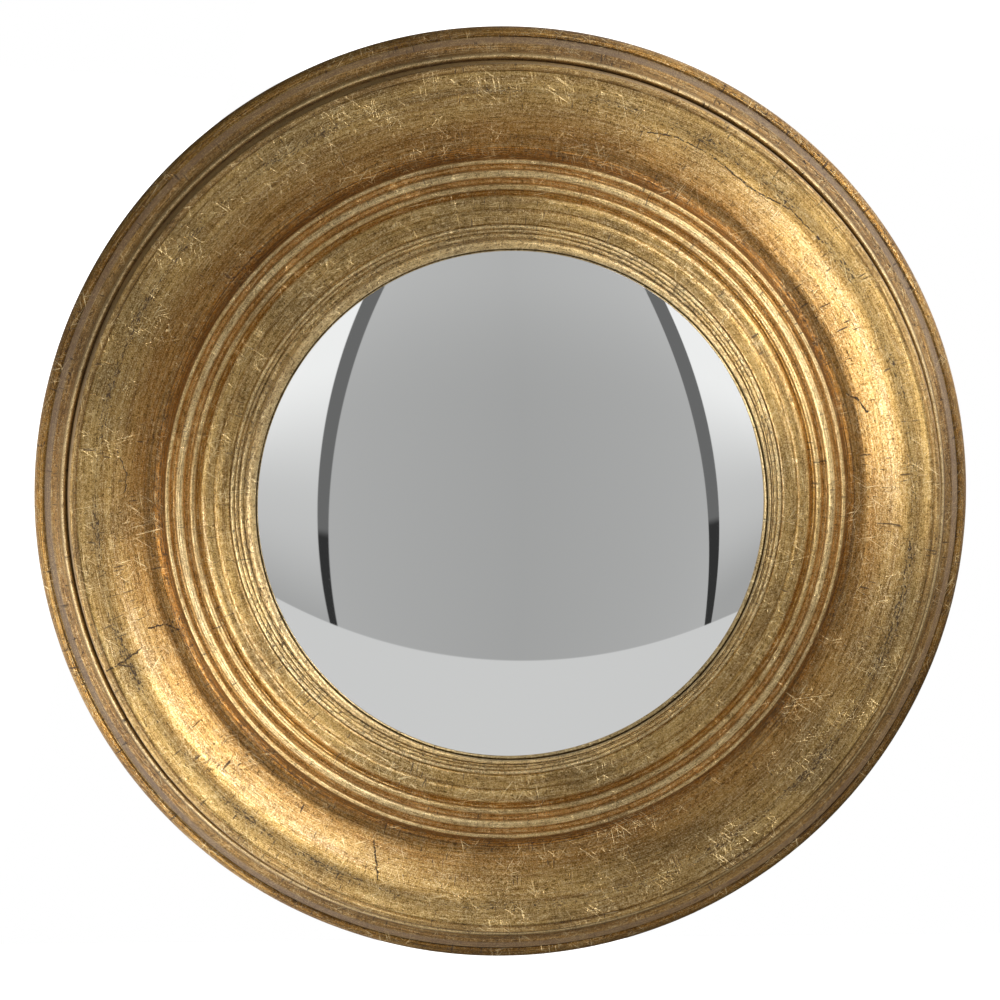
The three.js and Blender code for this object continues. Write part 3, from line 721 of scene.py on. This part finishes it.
def build_frame():
    points, values, names = [], [], []
    for name, member, *finish in members():
        points += member
        values += [finish] * len(member)
        names += [name] * len(member)
    front = len(points)
    points += REBATE
    values += [[0, 0, 0, 0, 0]] * len(REBATE)
    names += ["rebate"] * len(REBATE)
    section, values = np.array(points), np.array(values)
    rows = len(section)

    grid = uneven_ring(section, values[:, 4])
    obj = new_mesh("gilded_frame", to_frame(grid).reshape(-1, 3), ring_faces(rows, RING_STEPS, True))
    mesh = obj.data
    mesh.materials.append(GILT)
    mesh.materials.append(FRAME_BACK)
    row_of_face = np.repeat(np.arange(rows), RING_STEPS)
    wooden = (row_of_face >= front) & (row_of_face < rows - 1)
    mesh.polygons.foreach_set("material_index", wooden.astype(np.int32))
    for key, row_values in gilding_of(section, values, names).items():
        attribute = mesh.attributes.new(key, "FLOAT", "POINT")
        attribute.data.foreach_set("value", np.repeat(row_values, RING_STEPS).astype(np.float32))
    outward(obj)
    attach(obj, "mirror")
    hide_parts("frame")


def outward(obj):
    """Turns a closed mesh's faces outwards."""
    mesh = obj.data
    vertices = np.zeros(len(mesh.vertices) * 3)
    mesh.vertices.foreach_get("co", vertices)
    vertices = vertices.reshape(-1, 3)
    mesh.calc_loop_triangles()
    triangles = np.zeros(len(mesh.loop_triangles) * 3, int)
    mesh.loop_triangles.foreach_get("vertices", triangles)
    a, b, c = (vertices[triangles.reshape(-1, 3)[:, i]] - vertices.mean(0) for i in range(3))
    if (a * np.cross(b, c)).sum() < 0:
        mesh.flip_normals()
    return obj


def revolved(name, section, steps, centre, axis_sign=-1.0, poles=False, crowned=False):
    """A section (radius, depth) turned about an axis along Y through centre, which is in metres.
    Depth runs towards the wall where axis_sign is 1, and away from it where it is -1. With poles,
    both ends are closed to a point, and crowned puts that point on the curve of the rows beside it."""
    p = np.array(section, float)
    angle = round_angles(steps)
    x = p[:, 0, None] * np.cos(angle) * MM + centre[0]
    z = p[:, 0, None] * np.sin(angle) * MM + centre[2]
    y = np.repeat(axis_sign * p[:, 1, None], steps, axis=1) * MM + centre[1]
    vertices = np.stack([x, y, z], -1).reshape(-1, 3)
    faces = [tuple(f) for f in ring_faces(len(p), steps, not poles)]
    if poles:
        for row in (0, len(p) - 1):
            first = row * steps
            centre_index = len(vertices)
            tip = vertices[first:first + steps].mean(0)
            if crowned:
                way = 1 if row == 0 else -1
                beside = first + way * steps
                slope = p[row, 0] / (abs(p[row, 0] - p[row + way, 0]) + 1e-9)
                lift = tip - vertices[beside:beside + steps].mean(0)
                tip = tip + lift * slope / (2 + slope)
            vertices = np.vstack([vertices, tip])
            for j in range(steps):
                a, b = first + j, first + (j + 1) % steps
                faces.append((b, a, centre_index) if row else (a, b, centre_index))
    return outward(new_mesh(name, vertices, faces))


def sharpen(obj, degrees=35):
    """Marks edges sharper than an angle, so that flats stay flat under smooth shading."""
    bpy.context.view_layer.objects.active = obj
    obj.data.set_sharp_from_angle(angle=math.radians(degrees))


def dress(obj, finish, body, slot, *nodes):
    obj.data.materials.append(finish)
    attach(obj, body)
    if nodes:
        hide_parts(*nodes)


def build_glass():
    radii = np.linspace(0, GLASS_RADIUS, 91)[1:]
    front = [(r, dome_front(r)) for r in radii]
    inner = SPHERE - GLASS_THICKNESS
    back = [(r, DOME_CENTRE + math.sqrt(inner ** 2 - r ** 2)) for r in radii[::-3]]
    obj = revolved("domed_mirror", front + back, 256, AXIS, poles=True, crowned=True)
    obj.data.materials.append(SILVER)
    obj.data.materials.append(BACKING_PAINT)
    normals = np.array([p.normal for p in obj.data.polygons])
    hollow = (normals[:, 1] > 0.2).astype(np.int32)
    obj.data.polygons.foreach_set("material_index", hollow)
    sharpen(obj, 40)
    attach(obj, "mirror")
    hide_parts("mirror_glass")


def build_board():
    edge, thickness, inner = 118.6, 5.0, 2
    section = [
        (inner, 0.02),
        (edge - 0.5, 0.0),
        (edge - 0.15, 0.12),
        (edge, 0.5),
        (edge, thickness - 0.4),
        (edge - 0.4, thickness),
        (inner, thickness),
    ]
    obj = revolved("back_board", section, 180, AXIS, poles=True)
    sharpen(obj, 50)
    dress(obj, HARDBOARD, "mirror", "hardboard", "backing_board")


build_frame()
build_glass()
build_board()


def rounded_plate(name, reach, hole, thickness, bevel, centre, turn, steps=72):
    """A flat plate with a screw hole. reach(angle) is its edge's distance from the hole."""
    # Each loop's depth, its radius where that is fixed, or else how far it lies inside the edge
    countersink = 0.25
    loops = (
        (0.0, hole, 0.0),
        (0.0, None, bevel),
        (bevel * 0.3, None, bevel * 0.3),
        (bevel, None, 0.0),
        (thickness - bevel, None, 0.0),
        (thickness - bevel * 0.3, None, bevel * 0.3),
        (thickness, None, bevel),
        (thickness, hole + countersink, 0.0),
        (thickness - countersink, hole, 0.0),
    )
    angle = round_angles(steps)
    edge = np.array([reach(a) for a in angle])
    vertices = []
    for depth, radius, inset in loops:
        r = edge - inset if radius is None else np.full(steps, radius)
        x = centre[0] + r * np.cos(angle + turn) * MM
        y = np.full(steps, centre[1] + depth * MM)
        z = centre[2] + r * np.sin(angle + turn) * MM
        vertices.append(np.stack([x, y, z], -1))
    vertices = np.concatenate(vertices)
    return outward(new_mesh(name, vertices, ring_faces(len(loops), steps, True)))


def button_reach(angle):
    """Distance from the screw hole to a button's edge: a slot shape with round ends."""
    half = 5.5
    near, far = 0.5, -17.5  # where the straight sides end
    c, s = math.cos(angle), math.sin(angle)
    to_side = half / abs(s) if abs(s) > 1e-6 else 1e9
    if far <= to_side * c <= near:
        return to_side
    end = near if to_side * c > near else far
    b = end * c
    return b + math.sqrt(max(b * b - end * end + half * half, 0))


def build_button(i, low, high):
    angle = 2 * math.pi * i / BUTTONS
    centre = (BUTTON_CIRCLE * math.cos(angle), low.y, AXIS_Z + BUTTON_CIRCLE * math.sin(angle))
    thickness, bevel = (high.y - low.y) / MM, 0.4
    obj = rounded_plate(
        f"button_plate_{i + 1}", button_reach, BUTTON_BORE, thickness, bevel, centre, angle
    )
    sharpen(obj, 30)
    dress(obj, BRASS, f"button_{i + 1}", "brassed_steel", f"turn_button_{i + 1}")


for i in range(BUTTONS):
    build_button(i, *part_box(f"turn_button_{i + 1}"))


def build_screw(name, node, turn):
    """A round-head wood screw with a cross recess, its head towards the wall."""
    low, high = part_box(node)
    centre = ((low.x + high.x) / 2, high.y, (low.z + high.z) / 2)
    length = (high.y - low.y) / MM
    rings, steps = 26, 80
    head, dome, shank = 3.4, 2.1, 1.7
    section = []
    for t in np.linspace(0.0, math.pi / 2, rings):
        section.append((head * math.sin(t) * 0.995 + 0.02, dome - dome * math.cos(t)))
    section += [
        (head - 0.1, dome),
        (shank + 0.05, dome),
        (shank, dome + 0.1),
        (shank, length - 4.0),
        (0.9, length - 1.9),
        (0.05, length),
    ]
    obj = revolved(name, section, steps, centre, poles=True)

    # The recess: two crossed slots that get shallower outwards
    slot_half, slot_slope, slot_reach, end_slope = 0.52, 0.16, 1.75, 0.3
    c, s = math.cos(turn), math.sin(turn)
    for vertex in obj.data.vertices:
        dx, dz = (vertex.co.x - centre[0]) / MM, (vertex.co.z - centre[2]) / MM
        depth = (centre[1] - vertex.co.y) / MM
        if depth < dome - 0.3:
            across, along = sorted((abs(dx * c + dz * s), abs(-dx * s + dz * c)))
            wide = max(0.0, min(1.0, (slot_half - across) / slot_slope))
            long = max(0.0, min(1.0, (slot_reach - along) / end_slope))
            vertex.co.y -= wide * long * (1.25 - 0.35 * along) * MM
    sharpen(obj, 28)
    dress(obj, ZINC, "mirror", "zinc_screw", node)


for i in range(BUTTONS):
    build_screw(f"button_screw_{i + 1}", f"turn_button_screw_{i + 1}", 0.5 + 1.1 * i)
for i in range(2):
    build_screw(f"strap_screw_{i + 1}", f"hanger_screw_{i + 1}", 0.3 + 0.9 * i)


# ---- Hanger ----


def at_hinge(x, wall, up):
    """A point to the right of the ring's bar, towards the wall from it and above it, in millimetres."""
    return (HINGE[0] + x * MM, HINGE[1] + wall * MM, HINGE[2] + up * MM)


def build_strap():
    """A strip rolled round the ring's bar, running down to a round end."""
    middle = BARREL_BORE + STRAP_THICKNESS / 2
    # Each step: (up, towards the wall), the strip's outward direction and its half width
    path = []
    for degrees in np.linspace(182, -90, 44):
        a = math.radians(degrees)
        path.append(((middle * math.cos(a), middle * math.sin(a)), (math.cos(a), math.sin(a)), STRAP_HALF))
    straight = STRAP_LENGTH - STRAP_HALF
    for down in np.linspace(0.8, straight, 12):
        path.append(((-down, -middle), (0.0, -1.0), STRAP_HALF))
    for degrees in np.linspace(8, 88, 14):
        a = math.radians(degrees)
        down = straight + STRAP_HALF * math.sin(a)
        path.append(((-down, -middle), (0.0, -1.0), STRAP_HALF * math.cos(a)))
    half_t, soft, least_half = STRAP_THICKNESS / 2, 0.22, 0.3
    vertices = []
    for (up, wall), (out_up, out_wall), half in path:
        side = max(half, least_half)
        loop = [
            (side, -half_t + soft),
            (side, half_t - soft),
            (side - soft, half_t),
            (-side + soft, half_t),
            (-side, half_t - soft),
            (-side, -half_t + soft),
            (-side + soft, -half_t),
            (side - soft, -half_t),
        ]
        for x, out in loop:
            vertices.append(at_hinge(x, wall + out * out_wall, up + out * out_up))
    rows, columns = len(path), len(loop)
    faces = [tuple(f) for f in ring_faces(rows, columns, False)]
    faces.append(tuple(range(columns)))
    faces.append(tuple((rows - 1) * columns + j for j in range(columns))[::-1])
    obj = outward(new_mesh("strap_strip", vertices, faces))
    sharpen(obj, 40)
    dress(obj, BRASS, "mirror", "brassed_steel", "hanger_strap")


def build_ring():
    """A closed D of round wire that stands up and leans on the frame's back."""
    half, height, corner, wire, sides = 11.0, 20.0, 3.0, 1.3, 20
    hinge_gap, clearance = 3.1, 0.3  # from the bar's middle to the frame's back, and what stays free
    lean = math.asin((hinge_gap - clearance - wire) / height)
    arch = height - half
    stretches = (
        line((corner - half, 0.0), (half - corner, 0.0), 13),
        arc(half - corner, corner, corner, corner, -90, 0, 8),
        line((half, corner), (half, arch), 5),
        arc(0.0, arch, half, half, 0, 180, 39),
        line((-half, arch), (-half, corner), 5),
        arc(corner - half, corner, corner, corner, 180, 270, 8),
    )
    p = np.array([point for stretch in stretches for point in stretch[:-1]])
    tangent = np.roll(p, -1, axis=0) - np.roll(p, 1, axis=0)
    tangent /= np.linalg.norm(tangent, axis=1)[:, None]
    out = np.c_[tangent[:, 1], -tangent[:, 0]]
    vertices = []
    for (x, up), (out_x, out_up) in zip(p, out):
        for a in round_angles(sides):
            wide, wall = wire * math.cos(a), wire * math.sin(a)
            risen = up + out_up * wide
            vertices.append(
                at_hinge(
                    x + out_x * wide,
                    wall * math.cos(lean) - risen * math.sin(lean),
                    wall * math.sin(lean) + risen * math.cos(lean),
                )
            )
    faces = ring_faces(len(p), sides, True)
    obj = outward(new_mesh("wire_ring", vertices, faces))
    dress(obj, BRASS, "ring", "brassed_steel", "hanger_ring")


def build_bumper(i):
    low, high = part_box(f"wall_bumper_{i + 1}")
    centre = ((low.x + high.x) / 2, low.y, (low.z + high.z) / 2)
    tall, radius, rounding, inner = (high.y - low.y) / MM, 6.0, 1.5, 0.4
    section = [(inner, 0.0), (radius, 0.0), (radius, tall - rounding)]
    section += arc(radius - rounding, tall - rounding, rounding, rounding, 8, 90, 7)
    section.append((inner, tall))
    obj = revolved(f"rubber_dot_{i + 1}", section, 56, centre, axis_sign=1.0, poles=True)
    sharpen(obj, 40)
    dress(obj, RUBBER, "mirror", "bumper_rubber", f"wall_bumper_{i + 1}")


build_strap()
build_ring()
for i in range(2):
    build_bumper(i)

for node, finish in (("glazing_gasket", FOAM), ("spacer_ring", BARE_WOOD)):
    mesh = frame["nodes"][node].data
    mesh.materials.clear()
    mesh.materials.append(finish)


# ---- Studio ----


def build_floor():
    """A pale floor that the camera sees as white. The world stands for it in reflections."""
    size, level, glow = 7.0, -1.7, 0.9
    corners = [(-size, -size, level), (size, -size, level), (size, size, level), (-size, size, level)]
    floor = new_mesh("studio_floor", corners, [(0, 1, 2, 3)], smooth=False)
    made, n = material("pale_floor")
    shade = n.add("ShaderNodeBsdfDiffuse")
    shade.inputs["Color"].default_value = (0.8, 0.8, 0.79, 1)
    light = n.add("ShaderNodeEmission")
    light.inputs["Strength"].default_value = glow
    both = n.add("ShaderNodeAddShader")
    n.put(both.inputs[0], shade.outputs[0])
    n.put(both.inputs[1], light.outputs[0])
    seen = n.add("ShaderNodeMixShader")
    n.put(seen.inputs[0], n.add("ShaderNodeLightPath").outputs["Is Camera Ray"])
    n.put(seen.inputs[1], shade.outputs[0])
    n.put(seen.inputs[2], both.outputs[0])
    n.finish(seen, "ShaderNodeOutputMaterial")
    floor.data.materials.append(made)
    floor.visible_glossy = False


# The edges of the dark gaps in the studio, outer and inner, as the powers of v in each one's u
GAP_EDGES = {
    "left_outer": (-0.906, 0.072, 0.0),
    "left_inner": (-0.8136, 0.1075, 0.0),
    "right_inner": (1.2199, -0.2244, 0.1026),
    "right_outer": (1.3716, -0.1928, 0.0912),
}
FLOOR_EDGE = (-0.9094, -0.081, -0.0374)  # the floor's far edge, as the powers of u in its v
FLOOR_LIGHT = 0.66


def build_world():
    """White behind the object, and in front of it a studio: a grey panel between two narrow dark
    gaps, pale flats at the sides that darken downwards, and a pale floor."""
    world = bpy.data.worlds.new("studio")
    bpy.context.scene.world = world
    n = Nodes(world)
    x, y, z = n.split(n.add("ShaderNodeTexCoord").outputs["Generated"])
    ahead = n.most(n.times(y, -1.0), 0.02)
    u = n.clip(n.math("DIVIDE", x, ahead), -5.0, 5.0)
    v = n.clip(n.math("DIVIDE", z, ahead), -6.0, 6.0)

    def curve(value, powers):
        constant, first, second = powers
        return n.sum(constant, n.times(value, first), n.times(n.times(value, value), second))

    low_v = n.clip(v, -1.3, 1.5)
    beyond = {
        key: n.smooth(n.minus(u, curve(low_v, powers)), -0.006, 0.006)
        for key, powers in GAP_EDGES.items()
    }
    panel = n.minus(beyond["left_inner"], beyond["right_inner"])
    left_gap = n.minus(beyond["left_outer"], beyond["left_inner"])
    right_gap = n.minus(beyond["right_inner"], beyond["right_outer"])
    gap = n.sum(left_gap, right_gap)
    floor_edge = curve(n.clip(u, -2.5, 3.0), FLOOR_EDGE)
    floor = n.smooth(n.minus(v, floor_edge), -0.008, 0.008, 1.0, 0.0)

    off_middle = n.math("ABSOLUTE", n.minus(u, 0.11))
    panel_light = n.sum(0.405, n.times(off_middle, 0.05), n.smooth(v, 0.3, 1.3, 0.0, 0.08))
    flat_light = n.sum(n.smooth(v, -1.0, -0.1, 0.40, 0.60), n.smooth(v, -0.2, 0.7, 0.0, 0.36))
    gap_light = n.smooth(v, -0.30, -0.24, 0.035, 0.15)
    light = n.sum(
        n.times(panel, panel_light),
        n.times(gap, gap_light),
        n.times(n.minus(1.0, n.sum(panel, gap)), flat_light),
    )
    light = n.sum(n.times(light, n.minus(1.0, floor)), n.times(floor, FLOOR_LIGHT))

    # Beyond what the dome shows, it is bright to the upper right and lower left, and dark elsewhere.
    # The dome shows less of its upper left, because the camera stands there.
    side = n.math("SQRT", n.sum(n.times(x, x), n.times(z, z), 1e-6))
    upper_left = n.math("DIVIDE", n.sum(n.times(x, -0.5), n.times(z, 0.866)), side)
    across = n.math("DIVIDE", n.sum(n.times(x, 0.82), n.times(z, 0.57)), side)
    far_light = n.smooth(n.math("ABSOLUTE", across), 0.55, 0.97, 0.02, 1.7)
    far = n.smooth(n.sum(y, n.times(upper_left, 0.0975)), -0.43, -0.34)
    light = n.sum(n.times(light, n.minus(1.0, far)), n.times(far, far_light))
    light = n.most(light, n.add("ShaderNodeLightPath").outputs["Is Camera Ray"])
    background = n.add("ShaderNodeBackground")
    background.inputs["Color"].default_value = (1, 1, 1, 1)
    n.put(background.inputs["Strength"], light)
    n.finish(background, "ShaderNodeOutputWorld")


def lamp(name, around):
    """A strip lamp off to one side in front, around degrees from +X towards +Z."""
    off_axis, distance = 50, 1.9
    data = bpy.data.lights.new(name, "AREA")
    data.shape = "RECTANGLE"
    data.size, data.size_y = 1.4, 0.42
    data.energy = 24
    obj = link(bpy.data.objects.new(name, data))
    a, b = math.radians(around), math.radians(off_axis)
    way = Vector((math.sin(b) * math.cos(a), -math.cos(b), math.sin(b) * math.sin(a)))
    tangent = Vector((-math.sin(a), 0, math.cos(a)))
    turn = Matrix((tangent, way.cross(tangent), way)).transposed()
    place = Vector((0, BACK_Y - 0.02, AXIS_Z)) + way * distance
    obj.matrix_world = Matrix.Translation(place) @ turn.to_4x4()
    obj.visible_camera = False
    obj.light_linking.receiver_collection = lit_pieces


# The lamps light every piece but the dome, in which they would show.
lit_pieces = bpy.data.collections.new("lit_by_lamps")
for piece in bpy.context.scene.objects:
    if piece.type == "MESH" and piece.name != "domed_mirror":
        lit_pieces.objects.link(piece)

build_floor()
build_world()
lamp("lamp_upper_right", 34)
lamp("lamp_lower_left", 214)

# ---- Camera ----

CAMERA_WAY = Vector((-0.0591, -1.0, 0.0912)).normalized()
CAMERA_DISTANCE = 1.9
rim_middle = Vector((0.0, BACK_Y - 0.008, AXIS_Z))
camera_data = bpy.data.cameras.new("camera")
camera_data.sensor_width = 36
camera_data.lens = 163.85
camera = link(bpy.data.objects.new("camera", camera_data))
camera.location = rim_middle + CAMERA_WAY * CAMERA_DISTANCE
aim = rim_middle + Vector((-0.00132, 0.0, -0.00185))
camera.rotation_mode = "QUATERNION"
camera.rotation_quaternion = (aim - camera.location).to_track_quat("-Z", "Y")
bpy.context.scene.camera = camera
bpy.context.scene.view_settings.view_transform = "Standard"
